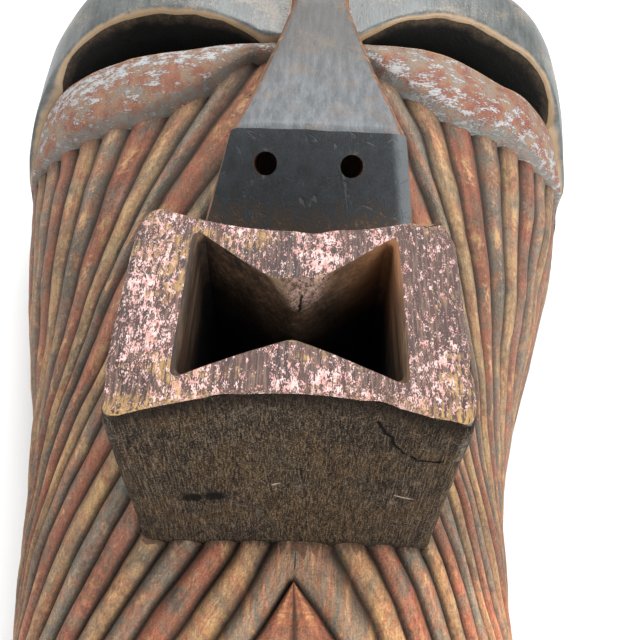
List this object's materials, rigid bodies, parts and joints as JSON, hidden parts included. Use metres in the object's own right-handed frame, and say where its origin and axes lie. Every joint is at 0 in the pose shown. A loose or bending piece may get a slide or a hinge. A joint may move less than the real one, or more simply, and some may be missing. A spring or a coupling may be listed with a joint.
{
  "type": "carved face mask",
  "caption": "Hollow wooden face mask in the kifwebe style, with ridged cheeks, hooded slit eyes, a wedge nose and a projecting box mouth.",
  "frame": {"origin": "the middle of the flat rim plane, under the middle of the mask's bounding box", "axes": "+X to the mask's left as worn and to the right as seen, +Y from the chin to the crown, +Z out of the face; the mask lies on its rim"},
  "size_m": [0.2496, 0.446, 0.1546],
  "materials": {
    "painted_wood": "worn matte paint over carved wood"
  },
  "bodies": {
    "root": {"kifwebe_mask": "painted_wood"}
  },
  "joints": []
}
